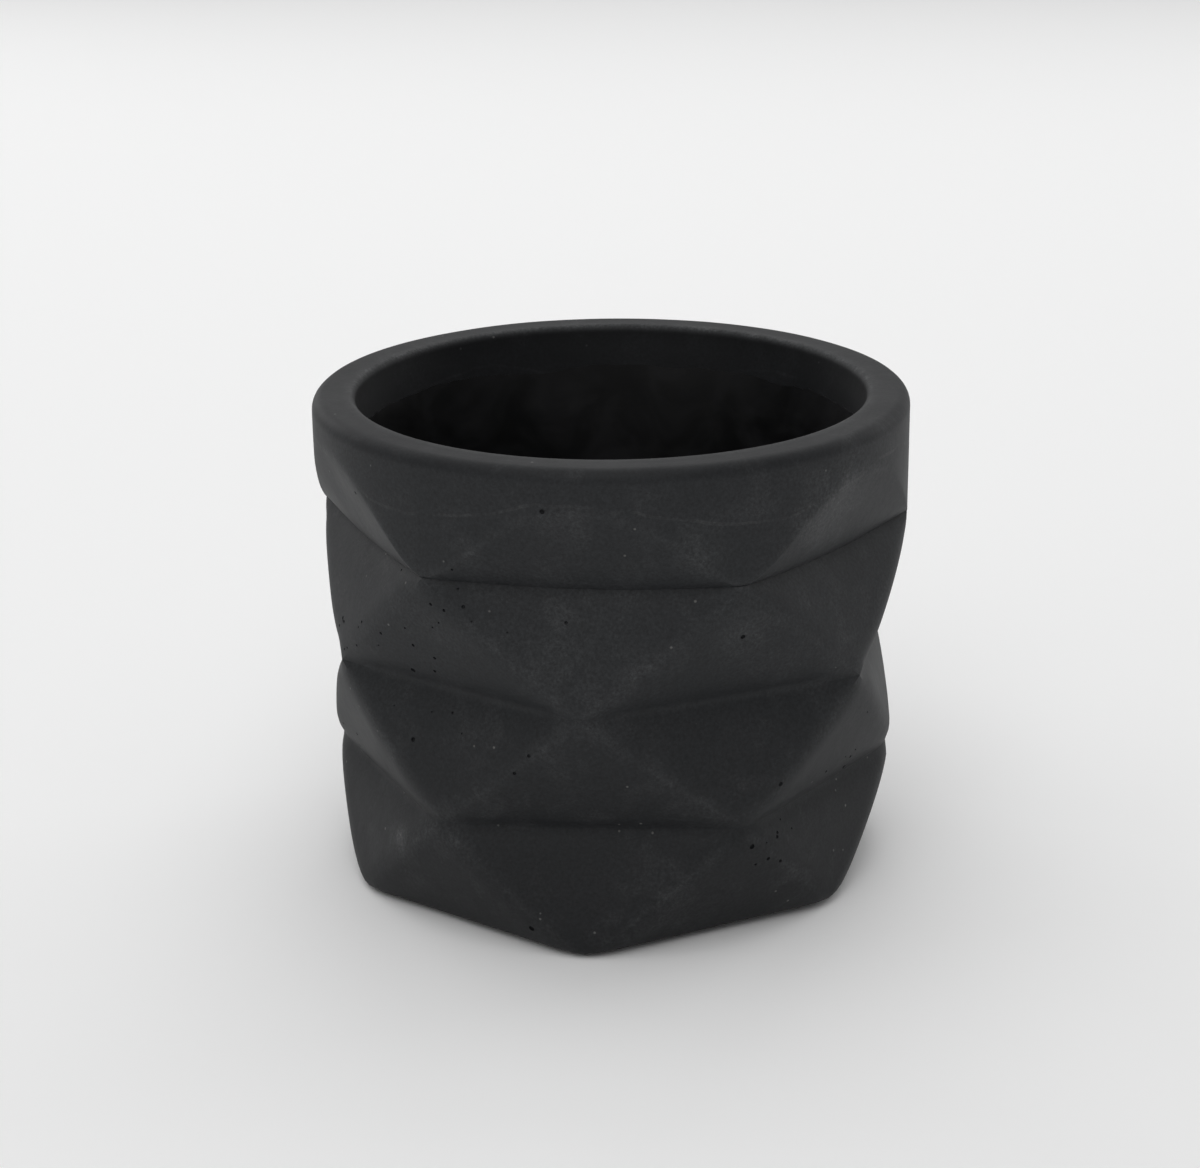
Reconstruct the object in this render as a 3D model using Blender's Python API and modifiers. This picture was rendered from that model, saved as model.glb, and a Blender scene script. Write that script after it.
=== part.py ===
"""Faceted cast concrete candle vessel with a brushed-on seal coat in its well.

The outside is a folded diamond pattern: hexagons stacked one above the other, each turned half a
side against the one below, joined by triangles. Above the highest fold the sides lean outwards
until they run out into a round collar. The well for the wax is turned and drafted, so that it
comes off its mould plug.

Units are metres. The origin is the centre of the base, +Z is up, and the base hexagon has a
corner on -Y.
"""

import math

import bmesh
import bpy
from mathutils import Matrix

# Driving dimensions.
HEIGHT = 0.075
RIM_RADIUS = 0.045
RIM_WALL = 0.0064
RIM_OUTER_ROUND = 0.0023
RIM_INNER_ROUND = 0.0012

SIDES = 6
FOLD_COUNT = 3                     # hexagons above the base
FOLD_STEP = 0.01902                # height from one hexagon to the next
BASE_RADIUS = 0.0423               # corner radius of the base hexagon
TOP_FOLD_RADIUS = 0.0454           # corner radius of the highest hexagon
COLLAR_LEAN = math.radians(23.0)   # the sides above the highest fold lean out by this much
BASE_EDGE_ROUND = 0.0011

WELL_FLOOR = 0.0080                # thickness of concrete under the well
WELL_FLOOR_RADIUS = 0.0325         # well radius where its wall would meet the floor
WELL_FLARE = 2.0                   # above 1 the wall opens faster near the rim
WELL_FILLET = 0.0050

COAT_DROP = 0.0064                 # bare concrete between the rim and the coat's brushed edge
COAT_THICKNESS = 0.0005
COAT_GAP = 0.0003                  # clearance that keeps the two meshes apart

TURN_STEPS = 72                    # points around the turned surfaces
ARC_STEPS = 4                      # pieces in a quarter-round
WALL_STEPS = 8                     # bands down the wall of the well
OVERSHOOT = 0.005                  # how far the cutting shapes reach past the concrete

CONCRETE_COLOUR = (0.024, 0.0245, 0.026, 1.0)
CONCRETE_ROUGHNESS = 0.62
COAT_COLOUR = (0.012, 0.012, 0.013, 1.0)
COAT_ROUGHNESS = 0.35


def clear_scene():
    for obj in list(bpy.data.objects):
        bpy.data.objects.remove(obj, do_unlink=True)


def make_collection(name):
    collection = bpy.data.collections.new(name)
    bpy.context.scene.collection.children.link(collection)
    return collection


def make_material(name, colour, roughness):
    material = bpy.data.materials.new(name)
    material.use_nodes = True
    shader = material.node_tree.nodes["Principled BSDF"]
    shader.inputs["Base Color"].default_value = colour
    shader.inputs["Roughness"].default_value = roughness
    shader.inputs["Metallic"].default_value = 0.0
    return material


def add_object(name, bm, collection):
    mesh = bpy.data.meshes.new(name)
    bm.to_mesh(mesh)
    bm.free()
    obj = bpy.data.objects.new(name, mesh)
    collection.objects.link(obj)
    return obj


def add_turned(name, profile, collection):
    """Turn a (radius, height) profile, which runs down its outer side, about the Z axis."""
    bm = bmesh.new()
    verts = [bm.verts.new((radius, 0.0, height)) for radius, height in profile]
    for before, after in zip(verts, verts[1:]):
        bm.edges.new((before, after))
    obj = add_object(name, bm, collection)
    screw = obj.modifiers.new("turn", "SCREW")
    screw.axis = "Z"
    screw.angle = 2.0 * math.pi
    screw.steps = TURN_STEPS
    screw.render_steps = TURN_STEPS
    screw.use_merge_vertices = True
    screw.merge_threshold = 0.00001
    screw.use_smooth_shade = True
    return obj


def fold_radius(level):
    """Corner radius of the hexagon at a level, the base being level 0."""
    return BASE_RADIUS + (TOP_FOLD_RADIUS - BASE_RADIUS) * level / FOLD_COUNT


def well_radius(height):
    """Radius of the well's wall at a height."""
    share = (height - WELL_FLOOR) / (HEIGHT - WELL_FLOOR)
    mouth_radius = RIM_RADIUS - RIM_WALL
    return WELL_FLOOR_RADIUS + (mouth_radius - WELL_FLOOR_RADIUS) * share ** WELL_FLARE


def quarter_round(centre_radius, centre_height, radius, start):
    """(radius, height) points of a quarter circle, counter-clockwise from the start angle."""
    points = []
    for step in range(ARC_STEPS + 1):
        angle = start + math.pi / 2.0 * step / ARC_STEPS
        points.append((
            centre_radius + radius * math.cos(angle),
            centre_height + radius * math.sin(angle),
        ))
    return points


def well_profile(offset, top):
    """The well from the edge of its floor up its wall to a height, moved inwards by an offset."""
    wall_foot = WELL_FLOOR + WELL_FILLET
    foot_radius = well_radius(wall_foot) - WELL_FILLET
    points = quarter_round(foot_radius, wall_foot, WELL_FILLET - offset, -math.pi / 2.0)
    for step in range(1, WALL_STEPS + 1):
        height = wall_foot + (top - wall_foot) * step / WALL_STEPS
        points.append((well_radius(height) - offset, height))
    return points


def turned_form_profile():
    """The well, the rim and the collar as one turned shape, which reaches below the base."""
    mouth = HEIGHT - RIM_INNER_ROUND
    inner_round = quarter_round(
        well_radius(mouth) + RIM_INNER_ROUND, mouth, RIM_INNER_ROUND, math.pi / 2.0)
    outer_round = quarter_round(
        RIM_RADIUS - RIM_OUTER_ROUND, HEIGHT - RIM_OUTER_ROUND, RIM_OUTER_ROUND, 0.0)
    profile = [(0.0, WELL_FLOOR)] + well_profile(0.0, mouth)
    # The well's wall already ends where the inner round starts.
    profile += inner_round[::-1][1:] + outer_round[::-1]
    return profile + [(RIM_RADIUS, -OVERSHOOT), (0.0, -OVERSHOOT)]


def raise_ring(bm, edges, rise, growth):
    """Extrude a closed loop upwards and scale it; returns its points, edges and new faces."""
    geometry = bmesh.ops.extrude_edge_only(bm, edges=edges)["geom"]
    verts = [item for item in geometry if isinstance(item, bmesh.types.BMVert)]
    faces = [item for item in geometry if isinstance(item, bmesh.types.BMFace)]
    edges = [
        item for item in geometry
        if isinstance(item, bmesh.types.BMEdge) and all(vert in verts for vert in item.verts)
    ]
    bmesh.ops.scale(bm, verts=verts, vec=(growth, growth, 1.0))
    bmesh.ops.translate(bm, verts=verts, vec=(0.0, 0.0, rise))
    return verts, edges, faces


def round_base_edge(bm):
    """Round the edge around the base, where the mould's open face was rubbed down."""
    around = [edge for edge in bm.edges if all(abs(vert.co.z) < 1e-7 for vert in edge.verts)]
    bmesh.ops.bevel(
        bm, geom=around, offset=BASE_EDGE_ROUND, offset_type="OFFSET", segments=2,
        profile=0.5, affect="EDGES")


def make_cast_body(parts, cutters):
    """The folded prism, cut back to the turned form of the collar, the rim and the well."""
    bm = bmesh.new()
    bmesh.ops.create_circle(bm, cap_ends=True, segments=SIDES, radius=BASE_RADIUS)
    edges = bm.edges[:]
    half_side_turn = Matrix.Rotation(math.pi / SIDES, 3, "Z")
    for level in range(1, FOLD_COUNT + 1):
        growth = fold_radius(level) / fold_radius(level - 1)
        verts, edges, faces = raise_ring(bm, edges, FOLD_STEP, growth)
        bmesh.ops.rotate(bm, verts=verts, cent=(0.0, 0.0, 0.0), matrix=half_side_turn)
        bmesh.ops.triangulate(bm, faces=faces, quad_method="SHORT_EDGE")
    round_base_edge(bm)

    # The sides above the highest fold lean out, past the rim.
    rise = HEIGHT + OVERSHOOT - FOLD_STEP * FOLD_COUNT
    top_radius = TOP_FOLD_RADIUS + rise * math.tan(COLLAR_LEAN) / math.cos(math.pi / SIDES)
    _, edges, _ = raise_ring(bm, edges, rise, top_radius / TOP_FOLD_RADIUS)
    bmesh.ops.contextual_create(bm, geom=edges)
    bmesh.ops.recalc_face_normals(bm, faces=bm.faces[:])
    body = add_object("cast_body", bm, parts)
    body.data.materials.append(
        make_material("charcoal_concrete", CONCRETE_COLOUR, CONCRETE_ROUGHNESS))

    form = add_turned("turned_form", turned_form_profile(), cutters)
    form.display_type = "WIRE"
    form.hide_render = True
    cut = body.modifiers.new("cut_back_to_turned_form", "BOOLEAN")
    cut.operation = "INTERSECT"
    cut.solver = "EXACT"
    cut.object = form
    return body


def make_seal_coat(parts):
    """A thin cup that lines the well up to the brushed edge."""
    top = HEIGHT - COAT_DROP
    outer = well_profile(COAT_GAP, top)
    inner = well_profile(COAT_GAP + COAT_THICKNESS, top)
    floor_under = WELL_FLOOR + COAT_GAP
    floor_over = floor_under + COAT_THICKNESS
    profile = [(0.0, floor_over)] + inner + outer[::-1] + [(0.0, floor_under)]
    coat = add_turned("seal_coat", profile, parts)
    coat.data.materials.append(make_material("seal_coat", COAT_COLOUR, COAT_ROUGHNESS))
    return coat


def main():
    clear_scene()
    parts = make_collection("faceted_candle_vessel")
    cutters = make_collection("cutters")
    body = make_cast_body(parts, cutters)
    coat = make_seal_coat(parts)
    coat.parent = body


main()
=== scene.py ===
import math
import random

import bpy
from mathutils import Euler, Matrix, Vector, kdtree, noise


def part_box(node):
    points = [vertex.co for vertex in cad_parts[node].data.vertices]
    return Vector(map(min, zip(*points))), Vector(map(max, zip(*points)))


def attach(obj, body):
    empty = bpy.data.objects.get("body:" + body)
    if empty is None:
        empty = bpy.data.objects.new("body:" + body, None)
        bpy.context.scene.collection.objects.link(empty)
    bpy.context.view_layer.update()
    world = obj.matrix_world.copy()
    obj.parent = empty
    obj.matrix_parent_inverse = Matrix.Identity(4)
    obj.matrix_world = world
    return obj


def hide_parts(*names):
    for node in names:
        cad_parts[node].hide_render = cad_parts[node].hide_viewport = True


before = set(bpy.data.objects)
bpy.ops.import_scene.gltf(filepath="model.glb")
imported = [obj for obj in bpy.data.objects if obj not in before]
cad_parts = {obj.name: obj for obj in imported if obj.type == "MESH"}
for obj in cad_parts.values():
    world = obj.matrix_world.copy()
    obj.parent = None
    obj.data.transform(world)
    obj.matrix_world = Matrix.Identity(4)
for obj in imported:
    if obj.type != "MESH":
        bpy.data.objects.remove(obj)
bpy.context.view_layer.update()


# ---- Cast body: the folded outside ----------------------------------------------------------
# One pour of cement mortar with charcoal pigment right through it, cast upside down in a
# flexible mould. The mould's soft walls swelled a little between its folds, so each facet is
# slightly full, the folds between facets are crisp and the ridges are soft.

MM = 0.001
RIM_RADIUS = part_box("cast_body")[1].x
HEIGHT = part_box("cast_body")[1].z

SIDES = 6
FOLDS = 3                          # hexagons above the base, each turned half a side
FOLD_STEP = 19.02 * MM
BASE_RADIUS = 42.3 * MM
TOP_FOLD_RADIUS = 45.25 * MM
HALF_SIDE = math.pi / SIDES

FACET_DETAIL = 5                   # rounds of subdivision
RIDGE_CREASE = {1: 0.68, 2: 0.66, 3: 0.84}    # by the level that a ridge climbs to
FOLD_CREASE = {1: 0.92, 2: 0.74, 3: 1.0}
CORNER_CREASE = {1: 0.74, 2: 1.0, 3: 1.0}
BASE_CREASE = 0.68

# The mould was cut by hand, so a few corners sit off the regular pattern. Level and angle of
# the corner, then its turn in degrees, its shift outwards and its shift upwards.
CORNER_DRIFT = {
    (3, -90): (-3.0, -0.2 * MM, -1.2 * MM),
    (3, 90): (0.0, -0.30 * MM, -0.6 * MM),
    (2, 60): (0.0, 0.50 * MM, 0.0),
    (1, -90): (0.0, 0.50 * MM, -1.0 * MM),
    (1, 30): (1.9, 0.0, 0.4 * MM),
    (1, 90): (0.0, -0.2 * MM, 0.0),
    (0, 60): (0.0, -1.6 * MM, 0.3 * MM),
}

SWELL = 1.20 * MM                  # how far a facet stands out away from its folds
SWELL_REACH = 2.4 * MM             # distance from a fold that brings 63% of it
FOLD_SOFTNESS = {0: 0.4 * MM, 1: 0.4 * MM, 2: 0.9 * MM, 3: 0.3 * MM}    # roundness of its floor
FOLD_SAG = {1: 0.5 * MM, 2: 0.15 * MM, 3: 1.0 * MM}    # dip at the middle of a side
FOLD_SAG_REACH = 6.0 * MM
FLAT_FACING = 0.7                  # a face whose normal's z is past this is the base
CREST_WIDTH = 0.5 * MM             # a point this near a ridge counts as its crest


def angle_of(point):
    """Angle about the axis, counted from -Y towards +X."""
    return math.atan2(point.x, -point.y)


def polar(radius, angle, z):
    return Vector((radius * math.sin(angle), -radius * math.cos(angle), z))


def fold_radius(level):
    return BASE_RADIUS + (TOP_FOLD_RADIUS - BASE_RADIUS) * level / FOLDS


def level_of(point):
    return round(point.z / FOLD_STEP)


def edit(obj):
    bpy.ops.object.select_all(action="DESELECT")
    bpy.context.view_layer.objects.active = obj
    obj.select_set(True)
    bpy.ops.object.mode_set(mode="EDIT")


def select_where(obj, kind, wanted):
    """Select the object's verts, edges or faces for which a test is true."""
    bpy.ops.mesh.select_mode(type=kind)
    bpy.ops.mesh.select_all(action="DESELECT")
    bpy.ops.object.mode_set(mode="OBJECT")
    mesh = obj.data
    items = {"VERT": mesh.vertices, "EDGE": mesh.edges, "FACE": mesh.polygons}[kind]
    for item in items:
        item.select = wanted(item)
    bpy.ops.object.mode_set(mode="EDIT")


def apply_modifiers(obj):
    bpy.ops.object.select_all(action="DESELECT")
    bpy.context.view_layer.objects.active = obj
    obj.select_set(True)
    for modifier in list(obj.modifiers):
        bpy.ops.object.modifier_apply(modifier=modifier.name)


bpy.ops.object.select_all(action="DESELECT")
bpy.ops.mesh.primitive_circle_add(vertices=SIDES, radius=BASE_RADIUS, fill_type="NGON")
body = bpy.context.object
body.name = "concrete_vessel"
edit(body)
bpy.ops.mesh.select_all(action="SELECT")
for level in range(1, FOLDS + 1):
    growth = fold_radius(level) / fold_radius(level - 1)
    bpy.ops.mesh.extrude_region_move(TRANSFORM_OT_translate={"value": (0.0, 0.0, FOLD_STEP)})
    bpy.ops.transform.resize(value=(growth, growth, 1.0), center_override=(0.0, 0.0, 0.0))
    bpy.ops.transform.rotate(
        value=HALF_SIDE, orient_axis="Z", center_override=(0.0, 0.0, 0.0))
bpy.ops.mesh.delete(type="ONLY_FACE")
select_where(body, "FACE", lambda face: abs(face.normal.z) < FLAT_FACING)
bpy.ops.mesh.quads_convert_to_tris(quad_method="SHORTEST_DIAGONAL")

# Each corner drifts as the hand-cut mould had it.
bpy.ops.object.mode_set(mode="OBJECT")
for vert in body.data.vertices:
    level = level_of(vert.co)
    angle = angle_of(vert.co)
    place = (level, round(math.degrees(angle)))
    turn, outwards, upwards = CORNER_DRIFT.get(place, (0.0, 0.0, 0.0))
    vert.co = polar(
        vert.co.xy.length + outwards, angle + math.radians(turn), vert.co.z + upwards)

levels = {vert.index: level_of(vert.co) for vert in body.data.vertices}
fold_lines = {level: [] for level in range(FOLDS + 1)}
ridge_lines = []
for edge in body.data.edges:
    ends = [body.data.vertices[index].co.copy() for index in edge.vertices]
    low, high = sorted(levels[index] for index in edge.vertices)
    (fold_lines[low] if low == high else ridge_lines).append(ends)


def climbs_to(edge):
    """The level of a ridge's upper end, or None for an edge of a hexagon."""
    low, high = sorted(levels[index] for index in edge.vertices)
    return high if high > low else None


bpy.ops.object.mode_set(mode="EDIT")
for level, crease in RIDGE_CREASE.items():
    select_where(body, "EDGE", lambda edge: climbs_to(edge) == level)
    bpy.ops.transform.edge_crease(value=crease)
for level, crease in [(0, BASE_CREASE)] + list(FOLD_CREASE.items()):
    select_where(
        body, "EDGE", lambda edge: climbs_to(edge) is None and levels[edge.vertices[0]] == level)
    bpy.ops.transform.edge_crease(value=crease)
for level, crease in CORNER_CREASE.items():
    select_where(body, "VERT", lambda vert: levels[vert.index] == level)
    bpy.ops.transform.vert_crease(value=crease)
bpy.ops.object.mode_set(mode="OBJECT")

subdivide = body.modifiers.new("facets", "SUBSURF")
subdivide.levels = FACET_DETAIL
subdivide.render_levels = FACET_DETAIL
subdivide.boundary_smooth = "PRESERVE_CORNERS"
apply_modifiers(body)


def search_tree(points):
    tree = kdtree.KDTree(len(points))
    for index, point in enumerate(points):
        tree.insert(point, index)
    tree.balance()
    return tree


def nearest_along(lines, step=0.15 * MM):
    """A search tree of points along straight lines."""
    points = []
    for start, end in lines:
        count = round((end - start).length / step)
        points += [start.lerp(end, index / count) for index in range(count + 1)]
    return search_tree(points)


def off_side_middle(angle, level):
    """Angle from the middle of the nearest side of the hexagon at a level."""
    middle = HALF_SIDE if level % 2 == 0 else 0.0
    return (angle - middle + HALF_SIDE) % (2.0 * HALF_SIDE) - HALF_SIDE


fold_trees = {level: nearest_along(lines) for level, lines in fold_lines.items()}
ridge_tree = nearest_along(ridge_lines)
crest_verts = [
    vert.index for vert in body.data.vertices if ridge_tree.find(vert.co)[2] < CREST_WIDTH]
normals = [vert.normal.copy() for vert in body.data.vertices]
for vert, normal in zip(body.data.vertices, normals):
    side_facing = min(1.0, max(0.0, (normal.z + 0.95) / 0.4))    # 0 on the base, 1 on the sides
    swell = SWELL * side_facing
    for level, tree in fold_trees.items():
        soft = FOLD_SOFTNESS[level]
        distance = math.hypot(tree.find(vert.co)[2], soft) - soft
        swell *= 1.0 - math.exp(-distance / SWELL_REACH)
    sag = 0.0
    for level, depth in FOLD_SAG.items():
        across = off_side_middle(angle_of(vert.co), level) / HALF_SIDE
        above = (vert.co.z - level * FOLD_STEP) / FOLD_SAG_REACH
        sag += depth * (1.0 - across * across) * math.exp(-above * above)
    vert.co += normal * swell
    vert.co.z -= sag
crest_points = [body.data.vertices[index].co.copy() for index in crest_verts]


# ---- Cast body: the collar, the rim and the well --------------------------------------------
# Above the top folds six sides lean out until they meet the round collar, each in an arch.
# The rim was the bottom of the mould and is well rounded; the well is the mould's turned plug.

COLLAR_SLOPE = 0.365               # outward lean of the collar's sides, per unit of height
COLLAR_SWELL = 1.15 * MM
COLLAR_SWELL_REACH = 1.7 * MM
ARCH_ROUND = 0.20 * MM             # softness of an arch at its top; it is crisp at its feet
HIGHEST_ARCH = 14.0 * MM
RIM_WALL = 6.4 * MM
RIM_OUTER_ROUND = 2.1 * MM
RIM_INNER_ROUND = 1.2 * MM
WELL_FLOOR = 8.0 * MM
WELL_FLOOR_RADIUS = 32.5 * MM
WELL_FLARE = 2.0
WELL_FILLET = 5.0 * MM
MERGE_DISTANCE = 0.01 * MM

SIDE_ROWS = 14                     # rows of points up a leaning side, to its arch
COLLAR_ROWS = 10                   # and from there up to the rim
collar_top = HEIGHT - RIM_OUTER_ROUND


def side_rise(above):
    """How far a leaning side has come out at a height above its fold."""
    swell = COLLAR_SWELL * (1.0 - math.exp(-above / COLLAR_SWELL_REACH))
    return swell + COLLAR_SLOPE * above


def arch_height(start_radius, lean_share):
    """Height above the fold at which a leaning side reaches the round collar."""
    low, high = 0.0, 20.0 * MM
    for _ in range(40):
        middle = (low + high) / 2.0
        if start_radius + side_rise(middle) / lean_share < RIM_RADIUS:
            low = middle
        else:
            high = middle
    return low


def well_radius(z):
    share = max(0.0, z - WELL_FLOOR) / (HEIGHT - WELL_FLOOR)
    mouth = RIM_RADIUS - RIM_WALL
    return WELL_FLOOR_RADIUS + (mouth - WELL_FLOOR_RADIUS) * share ** WELL_FLARE


class Column:
    """One upright line of points from a top fold to the rim."""

    def __init__(self, start):
        self.angle = angle_of(start)
        self.foot_radius = start.xy.length
        self.foot = start.z
        self.lean_share = math.cos(off_side_middle(self.angle, FOLDS))
        self.arch = arch_height(self.foot_radius, self.lean_share)

    def collar_point(self, z):
        side = self.foot_radius + side_rise(z - self.foot) / self.lean_share
        soft = ARCH_ROUND * self.arch / HIGHEST_ARCH
        radius = min(side, RIM_RADIUS)
        if soft > 1e-6:
            radius -= soft * math.log(1.0 + math.exp(-abs(side - RIM_RADIUS) / soft))
        return radius, z

    def side_point(self, share):
        return self.collar_point(self.foot + self.arch * share)

    def upper_point(self, share):
        arch_top = self.foot + self.arch
        return self.collar_point(arch_top + (collar_top - arch_top) * share)


def collar_and_rim_rows():
    """For each row of points, a function that gives a column's radius and height."""
    rows = []
    for row in range(1, SIDE_ROWS + 1):
        share = (1.0 - math.cos(math.pi * row / SIDE_ROWS)) / 2.0
        rows.append(lambda column, share=share: column.side_point(share))
    for row in range(1, COLLAR_ROWS + 1):
        share = 1.0 - math.cos(math.pi / 2.0 * row / COLLAR_ROWS)
        rows.append(lambda column, share=share: column.upper_point(share))

    turned = []
    for step in range(1, 9):
        turn = math.pi / 2.0 * step / 8
        turned.append((
            RIM_RADIUS - RIM_OUTER_ROUND * (1.0 - math.cos(turn)),
            collar_top + RIM_OUTER_ROUND * math.sin(turn)))
    mouth = HEIGHT - RIM_INNER_ROUND
    flat_inside = well_radius(mouth) + RIM_INNER_ROUND
    flat_outside = RIM_RADIUS - RIM_OUTER_ROUND
    for share in (0.33, 0.67):
        turned.append((flat_outside + (flat_inside - flat_outside) * share, HEIGHT))
    for step in range(7):
        turn = math.pi / 2.0 * step / 6
        turned.append((
            flat_inside - RIM_INNER_ROUND * math.sin(turn),
            mouth + RIM_INNER_ROUND * math.cos(turn)))
    wall_foot = WELL_FLOOR + WELL_FILLET
    for step in range(1, 25):
        z = mouth + (wall_foot - mouth) * step / 24
        turned.append((well_radius(z), z))
    fillet_centre = well_radius(wall_foot) - WELL_FILLET
    for step in range(1, 8):
        turn = math.pi / 2.0 * step / 7
        turned.append((
            fillet_centre + WELL_FILLET * math.cos(turn),
            wall_foot - WELL_FILLET * math.sin(turn)))
    for share in (0.75, 0.5, 0.25, 0.08):
        turned.append((fillet_centre * share, WELL_FLOOR))
    for point in turned:
        rows.append(lambda column, point=point: point)
    return rows


def around(vert):
    """Sorting key that runs once around the axis, clear of any column."""
    return (angle_of(vert.co) + 0.01) % (2.0 * math.pi)


def raise_rows(obj, columns, rows):
    """Extrude the selected loop once for each row, and put its points where the row says."""
    for row in rows:
        bpy.ops.mesh.extrude_region_move(
            TRANSFORM_OT_translate={"value": (0.0, 0.0, 0.1 * MM)})
        bpy.ops.object.mode_set(mode="OBJECT")
        ring = sorted((vert for vert in obj.data.vertices if vert.select), key=around)
        for column, vert in zip(columns, ring):
            radius, z = row(column)
            vert.co = polar(radius, column.angle, z)
        bpy.ops.object.mode_set(mode="EDIT")


edge_uses = {}
for face in body.data.polygons:
    for key in face.edge_keys:
        edge_uses[key] = edge_uses.get(key, 0) + 1
top_loop = {index for key, uses in edge_uses.items() if uses == 1 for index in key}
columns = [
    Column(vert.co) for vert in
    sorted((body.data.vertices[index] for index in top_loop), key=around)]

edit(body)
select_where(body, "EDGE", lambda edge: edge_uses[edge.key] == 1)
raise_rows(body, columns, collar_and_rim_rows())
bpy.ops.mesh.merge(type="CENTER")
bpy.ops.mesh.select_all(action="SELECT")
bpy.ops.mesh.remove_doubles(threshold=MERGE_DISTANCE)
bpy.ops.mesh.normals_make_consistent(inside=False)
bpy.ops.object.mode_set(mode="OBJECT")
for column in columns:
    radius, z = column.side_point(1.0)
    crest_points.append(polar(radius, column.angle, z))

# The cast skin is not quite even: it wanders inwards by a fraction of a millimetre.
WANDER = 0.16 * MM
WANDER_SIZE = 11.0 * MM
STANDING_EDGE = 1.0 * MM           # below this the base keeps its outline
for vert in body.data.vertices:
    outside = vert.co.xy.length > well_radius(vert.co.z) + RIM_INNER_ROUND
    if outside and vert.co.z > STANDING_EDGE:
        depth = WANDER * (0.5 + 0.5 * noise.noise(vert.co / WANDER_SIZE))
        rim_share = min(1.0, max(0.0, (vert.co.z - collar_top) / RIM_OUTER_ROUND))
        vert.co -= depth * vert.co.xy.normalized().to_3d() * (1.0 - rim_share)
        vert.co.z -= depth * 0.5 * rim_share


# ---- Cast body: pinholes --------------------------------------------------------------------
# Air bubbles that clung to the mould's wall and opened as round pits of up to a millimetre,
# some alone and some in clusters where a facet trapped them.

# Angle and height of the middle of a cluster, its spread, and how many pits it has.
PIT_CLUSTERS = [
    (-54, 43, 5.0, 12), (-28, 52, 6.0, 12), (40, 14, 4.5, 10), (-38, 36, 6.0, 6),
    (70, 24, 5.0, 6), (118, 45, 6.0, 10), (160, 20, 7.0, 12), (-130, 55, 6.0, 9),
    (-165, 30, 7.0, 9), (-100, 12, 5.0, 7), (95, 66, 5.0, 5), (-75, 24, 5.0, 5),
]
# Angle, height and width of the large single ones.
LARGE_PITS = [
    (31, 49, 0.8), (34, 16, 0.9), (-11, 4, 1.0), (-6, 69, 0.8), (-40, 40, 0.9),
    (-38, 30, 0.8), (-13, 29, 0.6), (-10, 32, 0.6), (40, 25, 0.8), (69, 20, 0.8),
    (-50, 66, 0.6), (128, 60, 0.9), (172, 48, 0.8), (-142, 14, 1.0), (-112, 38, 0.8),
]
PIT_SMALLEST = 0.30 * MM
PIT_LARGEST = 0.62 * MM
PIT_DEPTH = 0.30                   # how far below the skin a bubble's centre is, in radii
PIT_FLATNESS = 0.55                # a cluster is flatter than it is wide
SHARP_ANGLE = math.radians(24.0)   # the brims of pits stay sharp, the skin is smooth

chance = random.Random(11)
pits = [(math.radians(angle), z * MM, width * MM) for angle, z, width in LARGE_PITS]
for angle, z, spread, count in PIT_CLUSTERS:
    for _ in range(count):
        turn = math.radians(angle) + chance.gauss(0.0, spread * MM / RIM_RADIUS)
        pits.append((
            turn, z * MM + chance.gauss(0.0, PIT_FLATNESS * spread * MM),
            chance.uniform(PIT_SMALLEST, PIT_LARGEST)))

bpy.ops.object.select_all(action="DESELECT")
bubbles = []
for angle, z, width in pits:
    start = polar(2.0 * RIM_RADIUS, angle, z)
    hit, skin, normal, _ = body.ray_cast(start, polar(-1.0, angle, 0.0))
    if not hit:
        continue
    bpy.ops.mesh.primitive_ico_sphere_add(
        subdivisions=2, radius=width / 2.0, location=skin - normal * PIT_DEPTH * width / 2.0)
    bubbles.append(bpy.context.object)
for bubble in bubbles:
    bubble.select_set(True)
bpy.context.view_layer.objects.active = bubbles[0]
bpy.ops.object.join()
bubbles = bpy.context.object
pit = body.modifiers.new("pinholes", "BOOLEAN")
pit.operation = "DIFFERENCE"
pit.solver = "EXACT"
pit.use_self = True
pit.object = bubbles
apply_modifiers(body)
bpy.data.objects.remove(bubbles, do_unlink=True)
bpy.ops.object.shade_smooth_by_angle(angle=SHARP_ANGLE)


# Curing salts come out as a pale bloom, on the ridges that handling rubs and in patches, and a
# painted highlight lies along the rim's inner edge. Angle and height of a patch, its spread, and how thick
# it is.
BLOOM_PATCHES = [
    (53, 64, 6.0, 0.55), (30, 50, 4.0, 0.30), (22, 62, 3.5, 0.25), (-48, 58, 4.0, 0.25),
    (-44, 13, 1.8, 0.60), (0, 51, 9.0, 0.14), (100, 30, 5.0, 0.25), (150, 60, 6.0, 0.35),
    (-120, 40, 6.0, 0.30),
]
CREST_REACH = 0.9 * MM
CREST_BLOOM = 0.13
# A painted highlight, a pale line along the rim's inner edge: its strength and its reach.
RIM_EDGE_HIGHLIGHT = 0.50
RIM_EDGE_HIGHLIGHT_REACH = 0.5 * MM
crest_tree = search_tree(crest_points)


def bloom_and_highlight_at(point):
    """How thick the bloom and the painted highlight are at a point of the skin, 0 for none."""
    amount = CREST_BLOOM * math.exp(-(crest_tree.find(point)[2] / CREST_REACH) ** 2)
    for angle, z, spread, thickness in BLOOM_PATCHES:
        turn = (angle_of(point) - math.radians(angle) + math.pi) % (2.0 * math.pi) - math.pi
        distance = math.hypot(turn * RIM_RADIUS, point.z - z * MM) / (spread * MM)
        amount += thickness * math.exp(-distance * distance)
    # Painted highlight: a pale line all round the rim's inner edge.
    off_edge = math.hypot(
        point.xy.length - (RIM_RADIUS - RIM_WALL + 0.5 * MM), point.z - (HEIGHT - 0.2 * MM))
    inside = point.xy.length < well_radius(point.z) + 0.2 * MM
    return RIM_EDGE_HIGHLIGHT * math.exp(-(off_edge / RIM_EDGE_HIGHLIGHT_REACH) ** 2) + (0.0 if inside else amount)


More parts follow.
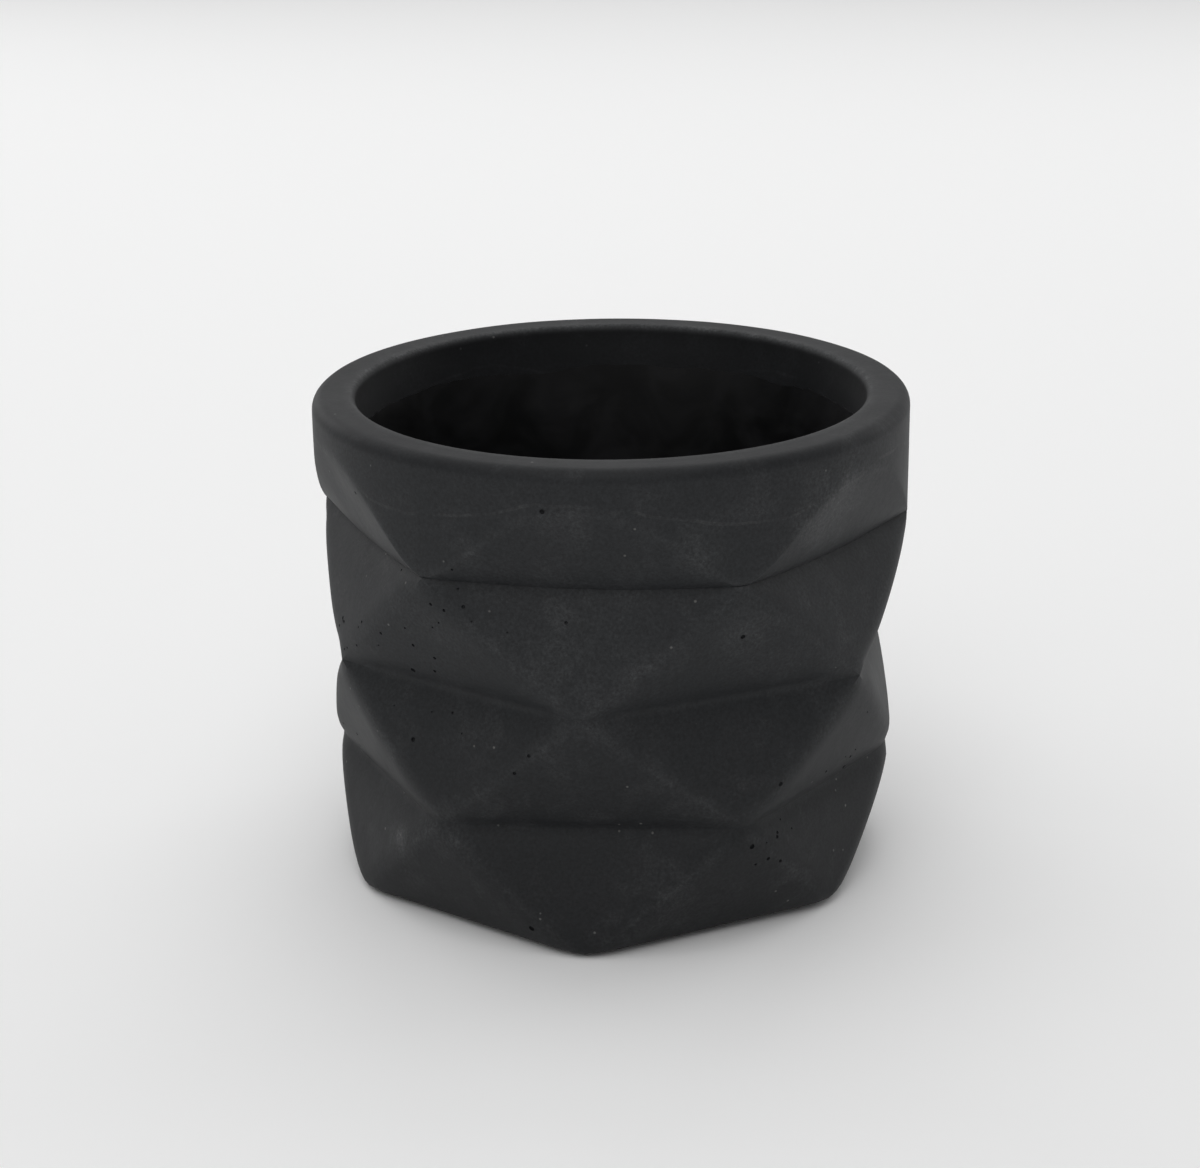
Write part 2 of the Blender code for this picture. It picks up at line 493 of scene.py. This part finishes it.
# The mask of the painted shade on the rim.
def rim_shade_at(point):
    """1 on the rim's level top, fading out over its rounded edge."""
    return min(1.0, max(0.0, (point.z - (HEIGHT - 2.2 * MM)) / (1.4 * MM)))


# The mask of the painted shade in the well.
def well_shade_at(point):
    """1 on the wall of the well, fading out at its mouth."""
    if point.xy.length > well_radius(point.z) + 0.8 * MM:
        return 0.0
    return min(1.0, max(0.0, (HEIGHT - 0.3 * MM - point.z) / (0.8 * MM)))


for name, amount_at in (("bloom_and_highlight", bloom_and_highlight_at), ("rim", rim_shade_at), ("well", well_shade_at)):
    attribute = body.data.attributes.new(name, "FLOAT", "POINT")
    for vert, value in zip(body.data.vertices, attribute.data):
        value.value = amount_at(vert.co)

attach(body, "root")
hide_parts("cast_body")


# ---- Cast body: charcoal concrete ------------------------------------------------------------
# Fine cement mortar with black oxide pigment, taken from the mould as it is: nearly black and
# matt, with the cloudy, dusty, speckled skin of cast concrete.

def linear(hex_colour):
    """An sRGB hex colour as linear RGBA."""
    channels = [int(hex_colour[start:start + 2], 16) / 255.0 for start in (1, 3, 5)]
    return tuple(
        c / 12.92 if c <= 0.04045 else ((c + 0.055) / 1.055) ** 2.4 for c in channels) + (1.0,)


def add_node(tree, kind, settings, inputs):
    """Add a node, make its own settings, and give each input a value or another node's output."""
    node = tree.nodes.new(kind)
    for name, value in settings.items():
        setattr(node, name, value)
    for name, value in inputs.items():
        if isinstance(value, bpy.types.NodeSocket):
            tree.links.new(value, node.inputs[name])
        else:
            node.inputs[name].default_value = value
    return node


# A Mix node's colour inputs and output have no names of their own to be found by.
FACTOR, BELOW, ABOVE = 0, 6, 7
MIXED = 2

concrete = bpy.data.materials.new("cast_charcoal_concrete")
concrete.use_nodes = True
tree = concrete.node_tree
shader = tree.nodes["Principled BSDF"]
place = add_node(tree, "ShaderNodeTexCoord", {}, {}).outputs["Object"]
axes = add_node(tree, "ShaderNodeSeparateXYZ", {}, {"Vector": place})
height_up = axes.outputs["Z"]

# Pigment lies thicker or thinner in clouds a centimetre across, which the eye takes for depth.
# Towards the foot the colour is darkened as painted shade, for the lower sides get less light.
clouds = add_node(
    tree, "ShaderNodeTexNoise", {},
    {"Vector": place, "Scale": 1.0 / (14.0 * MM), "Detail": 4.0, "Roughness": 0.6}).outputs["Fac"]
cloud_share = add_node(
    tree, "ShaderNodeMapRange", {}, {"Value": clouds, "From Min": 0.3, "From Max": 0.7})
pigment = add_node(
    tree, "ShaderNodeMix", {"data_type": "RGBA"},
    {FACTOR: cloud_share.outputs[0], BELOW: linear("#1e2022"), ABOVE: linear("#262729")})
# Painted shade: darkest at the foot and fading out 50 mm up.
foot_shade_share = add_node(
    tree, "ShaderNodeMapRange", {},
    {"Value": height_up, "From Min": 4.0 * MM, "From Max": 50.0 * MM, "To Min": 1.0, "To Max": 0.0})
foot = add_node(
    tree, "ShaderNodeMix", {"data_type": "RGBA", "blend_type": "MULTIPLY"},
    {FACTOR: foot_shade_share.outputs[0], BELOW: pigment.outputs[MIXED], ABOVE: (0.60, 0.60, 0.61, 1.0)})

# Painted shade: the rim's level top is darkened, fading out over its rounded edges.
rim = add_node(tree, "ShaderNodeAttribute", {"attribute_name": "rim"}, {})
painted_rim_shade = add_node(
    tree, "ShaderNodeMix", {"data_type": "RGBA", "blend_type": "MULTIPLY"},
    {FACTOR: rim.outputs["Fac"], BELOW: foot.outputs[MIXED], ABOVE: (0.52, 0.53, 0.56, 1.0)})

# The bloom of curing salts is thin and broken, so that it dusts the dark skin unevenly. It lies
# where the bloom map says, and a little of it everywhere in patches of some millimetres. The same
# pale colour draws the painted highlight along the rim's inner edge.
patches = add_node(
    tree, "ShaderNodeTexNoise", {},
    {"Vector": place, "Scale": 1.0 / (7.0 * MM), "Detail": 6.0, "Roughness": 0.65,
     "Distortion": 0.6}).outputs["Fac"]
thin_bloom = add_node(
    tree, "ShaderNodeMapRange", {},
    {"Value": patches, "From Min": 0.50, "From Max": 0.78, "To Max": 0.24})
broken = add_node(
    tree, "ShaderNodeMapRange", {},
    {"Value": patches, "From Min": 0.35, "From Max": 0.65, "To Min": 0.45, "To Max": 1.35})
bloom_and_highlight_map = add_node(tree, "ShaderNodeAttribute", {"attribute_name": "bloom_and_highlight"}, {})
bloom_and_highlight = add_node(
    tree, "ShaderNodeMath", {"operation": "MULTIPLY_ADD"},
    {0: bloom_and_highlight_map.outputs["Fac"], 1: broken.outputs[0], 2: thin_bloom.outputs[0]})
grit = add_node(
    tree, "ShaderNodeTexNoise", {},
    {"Vector": place, "Scale": 1.0 / (0.5 * MM), "Detail": 3.0, "Roughness": 0.75}).outputs["Fac"]
dust = add_node(
    tree, "ShaderNodeMapRange", {},
    {"Value": grit, "From Min": 0.25, "From Max": 0.70, "To Min": 0.45, "To Max": 1.30})
dusted_bloom_and_highlight = add_node(
    tree, "ShaderNodeMath", {"operation": "MULTIPLY"}, {0: bloom_and_highlight.outputs[0], 1: dust.outputs[0]})
bloomed_and_highlighted = add_node(
    tree, "ShaderNodeMix", {"data_type": "RGBA"},
    {FACTOR: dusted_bloom_and_highlight.outputs[0], BELOW: painted_rim_shade.outputs[MIXED], ABOVE: linear("#464748")})

# A faint tide line runs round the collar, where the mix stood for a moment while pouring. It
# waves by a few millimetres and is broken where there is no bloom.
TIDE_HEIGHT = 66.8 * MM
TIDE_WAVES = 5.2                   # in one turn; the line need not close at the back
TIDE_WAVE_HEIGHT = 2.0 * MM
TIDE_RIPPLE = 2.4 * MM
TIDE_HALF_WIDTH = 0.22 * MM
away_from_front = add_node(
    tree, "ShaderNodeMath", {"operation": "MULTIPLY"}, {0: axes.outputs["Y"], 1: -1.0})
turn = add_node(
    tree, "ShaderNodeMath", {"operation": "ARCTAN2"}, {0: axes.outputs["X"], 1: away_from_front.outputs[0]})
waves = add_node(
    tree, "ShaderNodeMath", {"operation": "MULTIPLY"}, {0: turn.outputs[0], 1: TIDE_WAVES})
wave = add_node(tree, "ShaderNodeMath", {"operation": "COSINE"}, {0: waves.outputs[0]})
wave_height = add_node(
    tree, "ShaderNodeMath", {"operation": "MULTIPLY_ADD"},
    {0: wave.outputs[0], 1: TIDE_WAVE_HEIGHT, 2: TIDE_HEIGHT})
ripples = add_node(
    tree, "ShaderNodeTexNoise", {}, {"Vector": place, "Scale": 1.0 / (9.0 * MM), "Detail": 3.0})
tide_height = add_node(
    tree, "ShaderNodeMath", {"operation": "MULTIPLY_ADD"},
    {0: ripples.outputs["Fac"], 1: TIDE_RIPPLE, 2: wave_height.outputs[0]})
tide_line = add_node(
    tree, "ShaderNodeMath", {"operation": "COMPARE"},
    {0: height_up, 1: tide_height.outputs[0], 2: TIDE_HALF_WIDTH})
tide_breaks = add_node(
    tree, "ShaderNodeMapRange", {},
    {"Value": patches, "From Min": 0.42, "From Max": 0.62, "To Max": 0.16})
tide = add_node(
    tree, "ShaderNodeMath", {"operation": "MULTIPLY"},
    {0: tide_line.outputs[0], 1: tide_breaks.outputs[0]})
tided = add_node(
    tree, "ShaderNodeMix", {"data_type": "RGBA"},
    {FACTOR: tide.outputs[0], BELOW: bloomed_and_highlighted.outputs[MIXED], ABOVE: linear("#5a5a5a")})

# Sand grains near the skin show as faint light specks; a few grains in a hundred do.
grains = add_node(
    tree, "ShaderNodeTexVoronoi", {}, {"Vector": place, "Scale": 1.0 / (1.6 * MM)})
grain_pick = add_node(
    tree, "ShaderNodeSeparateColor", {}, {"Color": grains.outputs["Color"]})
picked = add_node(
    tree, "ShaderNodeMath", {"operation": "GREATER_THAN"}, {0: grain_pick.outputs[0], 1: 0.95})
near_grain = add_node(
    tree, "ShaderNodeMapRange", {},
    {"Value": grains.outputs["Distance"], "From Min": 0.08, "From Max": 0.16,
     "To Min": 0.6, "To Max": 0.0})
speck = add_node(
    tree, "ShaderNodeMath", {"operation": "MULTIPLY"},
    {0: picked.outputs[0], 1: near_grain.outputs[0]})
specked = add_node(
    tree, "ShaderNodeMix", {"data_type": "RGBA"},
    {FACTOR: speck.outputs[0], BELOW: tided.outputs[MIXED], ABOVE: linear("#6c6b69")})

# Painted shade: the wall of the well is darkened, as the inside of the well gets little light. It has
# hardly any bloom.
well = add_node(tree, "ShaderNodeAttribute", {"attribute_name": "well"}, {})
painted_well_shade = add_node(
    tree, "ShaderNodeMix", {"data_type": "RGBA", "blend_type": "MULTIPLY"},
    {FACTOR: well.outputs["Fac"], BELOW: specked.outputs[MIXED], ABOVE: (0.33, 0.34, 0.37, 1.0)})

# Fine sand in the paste gives the skin its grain, lighter and darker by a third. Its real grain
# of about 0.1 mm would not show, so it is drawn at 0.5 mm.
grain_share = add_node(
    tree, "ShaderNodeMapRange", {}, {"Value": grit, "From Min": 0.25, "From Max": 0.75})
grain_tone = add_node(
    tree, "ShaderNodeMix", {"data_type": "RGBA"},
    {FACTOR: grain_share.outputs[0], BELOW: (0.55, 0.55, 0.55, 1.0), ABOVE: (1.45, 1.45, 1.45, 1.0)})
grained = add_node(
    tree, "ShaderNodeMix", {"data_type": "RGBA", "blend_type": "MULTIPLY"},
    {FACTOR: 1.0, BELOW: painted_well_shade.outputs[MIXED], ABOVE: grain_tone.outputs[MIXED]})
tree.links.new(grained.outputs[MIXED], shader.inputs["Base Color"])

# The cast skin is matt with a low sheen, and took the mould's fine texture and some shallow
# hollows a few millimetres across.
sheen = add_node(
    tree, "ShaderNodeMapRange", {},
    {"Value": clouds, "From Min": 0.3, "From Max": 0.7, "To Min": 0.56, "To Max": 0.66})
tree.links.new(sheen.outputs[0], shader.inputs["Roughness"])
shader.inputs["IOR"].default_value = 1.5
shader.inputs["Specular IOR Level"].default_value = 0.28
fine = add_node(
    tree, "ShaderNodeBump", {}, {"Strength": 0.35, "Distance": 0.03 * MM, "Height": grit})
hollows = add_node(
    tree, "ShaderNodeTexNoise", {}, {"Vector": place, "Scale": 1.0 / (3.5 * MM), "Detail": 3.0})
skin = add_node(
    tree, "ShaderNodeBump", {},
    {"Strength": 0.6, "Distance": 0.10 * MM, "Height": hollows.outputs["Fac"],
     "Normal": fine.outputs["Normal"]})
tree.links.new(skin.outputs["Normal"], shader.inputs["Normal"])
body.data.materials.clear()
body.data.materials.append(concrete)


# ---- Seal coat ------------------------------------------------------------------------------
# A dark, slightly shiny masonry sealer brushed over the floor and the wall of the well, so
# that wax does not soak in. It stops at a wavy brushed edge a few millimetres below the rim.

COAT_DROP = 6.4 * MM
COAT_STANDOFF = 0.05 * MM
COAT_THICKNESS = 0.15 * MM
COAT_COLUMNS = 192
COAT_START_RADIUS = 2.0 * MM       # the disc at the middle of the floor that the film grows from
BRUSH_DAB = 1.3 * MM               # how far the edge waves from one dab of the brush to the next
BRUSH_BRISTLE = 0.35 * MM          # and within a dab


class CoatColumn:
    """One upright line of points up the well, with its own brushed end."""

    def __init__(self, angle):
        self.angle = angle
        dabs = noise.noise(Vector((math.sin(angle), math.cos(angle), 0.0)) * 4.0)
        bristles = noise.noise(Vector((math.sin(angle), math.cos(angle), 0.3)) * 22.0)
        self.edge = HEIGHT - COAT_DROP + BRUSH_DAB * dabs + BRUSH_BRISTLE * bristles


def coat_rows():
    rows = []
    flat = well_radius(WELL_FLOOR + WELL_FILLET) - WELL_FILLET
    foot = WELL_FLOOR + WELL_FILLET
    radius = WELL_FILLET - COAT_STANDOFF
    for share in (0.3, 0.6, 1.0):
        rows.append(lambda column, share=share: (flat * share, WELL_FLOOR + COAT_STANDOFF))
    for step in range(1, 8):
        turn = math.pi / 2.0 * step / 7
        point = (flat + radius * math.sin(turn), foot - radius * math.cos(turn))
        rows.append(lambda column, point=point: point)
    for step in range(1, 25):
        def wall_point(column, share=step / 24):
            z = foot + (column.edge - foot) * share
            return well_radius(z) - COAT_STANDOFF, z
        rows.append(wall_point)
    return rows


bpy.ops.object.select_all(action="DESELECT")
bpy.ops.mesh.primitive_circle_add(
    vertices=COAT_COLUMNS, radius=COAT_START_RADIUS, fill_type="TRIFAN",
    location=(0.0, 0.0, WELL_FLOOR + COAT_STANDOFF))
coat = bpy.context.object
coat.name = "sealer_film"
bpy.ops.object.transform_apply(location=True, rotation=True, scale=True)
rim_of_disc = sorted(
    (vert for vert in coat.data.vertices if vert.co.xy.length > 0.5 * COAT_START_RADIUS), key=around)
coat_columns = [CoatColumn(angle_of(vert.co)) for vert in rim_of_disc]
edit(coat)
select_where(coat, "EDGE", lambda edge: all(
    coat.data.vertices[index].co.xy.length > 0.5 * COAT_START_RADIUS for index in edge.vertices))
raise_rows(coat, coat_columns, coat_rows())
bpy.ops.mesh.select_all(action="SELECT")
bpy.ops.mesh.normals_make_consistent(inside=True)
bpy.ops.object.mode_set(mode="OBJECT")
film = coat.modifiers.new("film", "SOLIDIFY")
film.thickness = COAT_THICKNESS
film.offset = 1.0
apply_modifiers(coat)
bpy.ops.object.shade_smooth_by_angle(angle=math.radians(40.0))

sealer = bpy.data.materials.new("brushed_masonry_sealer")
sealer.use_nodes = True
tree = sealer.node_tree
shader = tree.nodes["Principled BSDF"]
place = add_node(tree, "ShaderNodeTexCoord", {}, {}).outputs["Object"]

# The sealer is nearly black and satin, with hazy patches where a brushful went on thinner.
haze = add_node(
    tree, "ShaderNodeTexNoise", {},
    {"Vector": place, "Scale": 1.0 / (9.0 * MM), "Detail": 4.0, "Roughness": 0.6,
     "Distortion": 0.8}).outputs["Fac"]
haze_share = add_node(
    tree, "ShaderNodeMapRange", {}, {"Value": haze, "From Min": 0.45, "From Max": 0.75})
film_colour = add_node(
    tree, "ShaderNodeMix", {"data_type": "RGBA"},
    {FACTOR: haze_share.outputs[0], BELOW: linear("#09090a"), ABOVE: linear("#151517")})
film_gloss = add_node(
    tree, "ShaderNodeMapRange", {},
    {"Value": haze, "From Min": 0.35, "From Max": 0.70, "To Min": 0.36, "To Max": 0.52})
tree.links.new(film_colour.outputs[MIXED], shader.inputs["Base Color"])
tree.links.new(film_gloss.outputs[0], shader.inputs["Roughness"])
shader.inputs["IOR"].default_value = 1.5
shader.inputs["Specular IOR Level"].default_value = 0.35
coat.data.materials.append(sealer)

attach(coat, "root")
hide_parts("seal_coat")


# ---- Studio and viewpoint --------------------------------------------------------------------
# The vessel stands on a white paper sweep in a soft tent. A long lens looks down on it at
# about 19 degrees, a little to one side of the base's front corner.

bpy.ops.object.select_all(action="DESELECT")
bpy.ops.mesh.primitive_plane_add(size=6.0, location=(0.0, 0.0, 0.0))
floor = bpy.context.object
floor.name = "floor"
bpy.ops.object.transform_apply(location=True, rotation=True, scale=True)
paper = bpy.data.materials.new("white_paper")
paper.use_nodes = True
shader = paper.node_tree.nodes["Principled BSDF"]
shader.inputs["Base Color"].default_value = linear("#fafafa")
shader.inputs["Roughness"].default_value = 0.9
shader.inputs["Specular IOR Level"].default_value = 0.1
floor.data.materials.append(paper)

# Soft boxes a metre away: place, width and power. Those behind put the grazing shine on the
# sides of the vessel, and those in front only fill.
SOFT_BOXES = {
    "top": ((0.0, 0.0, 1.2), 1.0, 3.0),
    "top_front": ((0.0, -0.8, 1.0), 0.8, 3.4),
    "top_left": ((-0.8, 0.0, 0.95), 0.7, 1.0),
    "top_back": ((0.0, 0.9, 0.9), 0.8, 2.5),
    "back": ((0.0, 1.3, 0.45), 0.9, 0.2),
    "left_back": ((-0.85, 0.85, 0.5), 0.7, 2.3),
    "right_back": ((0.85, 0.85, 0.5), 0.7, 2.1),
    "front_left": ((-0.8, -0.9, 0.5), 0.7, 0.5),
}
for name, (position, width, power) in SOFT_BOXES.items():
    light_data = bpy.data.lights.new(name, "AREA")
    light_data.shape = "SQUARE"
    light_data.size = width
    light_data.energy = power
    light = bpy.data.objects.new(name, light_data)
    bpy.context.scene.collection.objects.link(light)
    light.location = position
    towards = Vector((0.0, 0.0, HEIGHT / 2.0)) - light.location
    light.rotation_euler = towards.to_track_quat("-Z", "Y").to_euler()

world = bpy.data.worlds.new("tent")
bpy.context.scene.world = world
world.use_nodes = True
world.node_tree.nodes["Background"].inputs["Color"].default_value = (1.0, 1.0, 1.0, 1.0)
world.node_tree.nodes["Background"].inputs["Strength"].default_value = 0.33

# Where the camera is, in rim radii, and how it is turned: the side it is on and its small yaw,
# its tilt up from looking straight down, and its roll.
camera_side = math.radians(6.28)
camera_reach = 8.975 * RIM_RADIUS
camera_height = 4.058 * RIM_RADIUS
camera_yaw = math.radians(0.276)
camera_tilt = math.radians(70.98)
camera_roll = math.radians(-0.61)
camera_data = bpy.data.cameras.new("camera")
camera_data.sensor_fit = "HORIZONTAL"
camera_data.sensor_width = 36.0
camera_data.lens = 83.0
camera = bpy.data.objects.new("camera", camera_data)
bpy.context.scene.collection.objects.link(camera)
aim = Euler((camera_tilt, 0.0, camera_side + camera_yaw)).to_matrix()
camera.matrix_world = (aim @ Matrix.Rotation(camera_roll, 3, "Z")).to_4x4()
camera.location = polar(camera_reach, camera_side, camera_height)
bpy.context.scene.camera = camera
bpy.context.scene.view_settings.view_transform = "Standard"
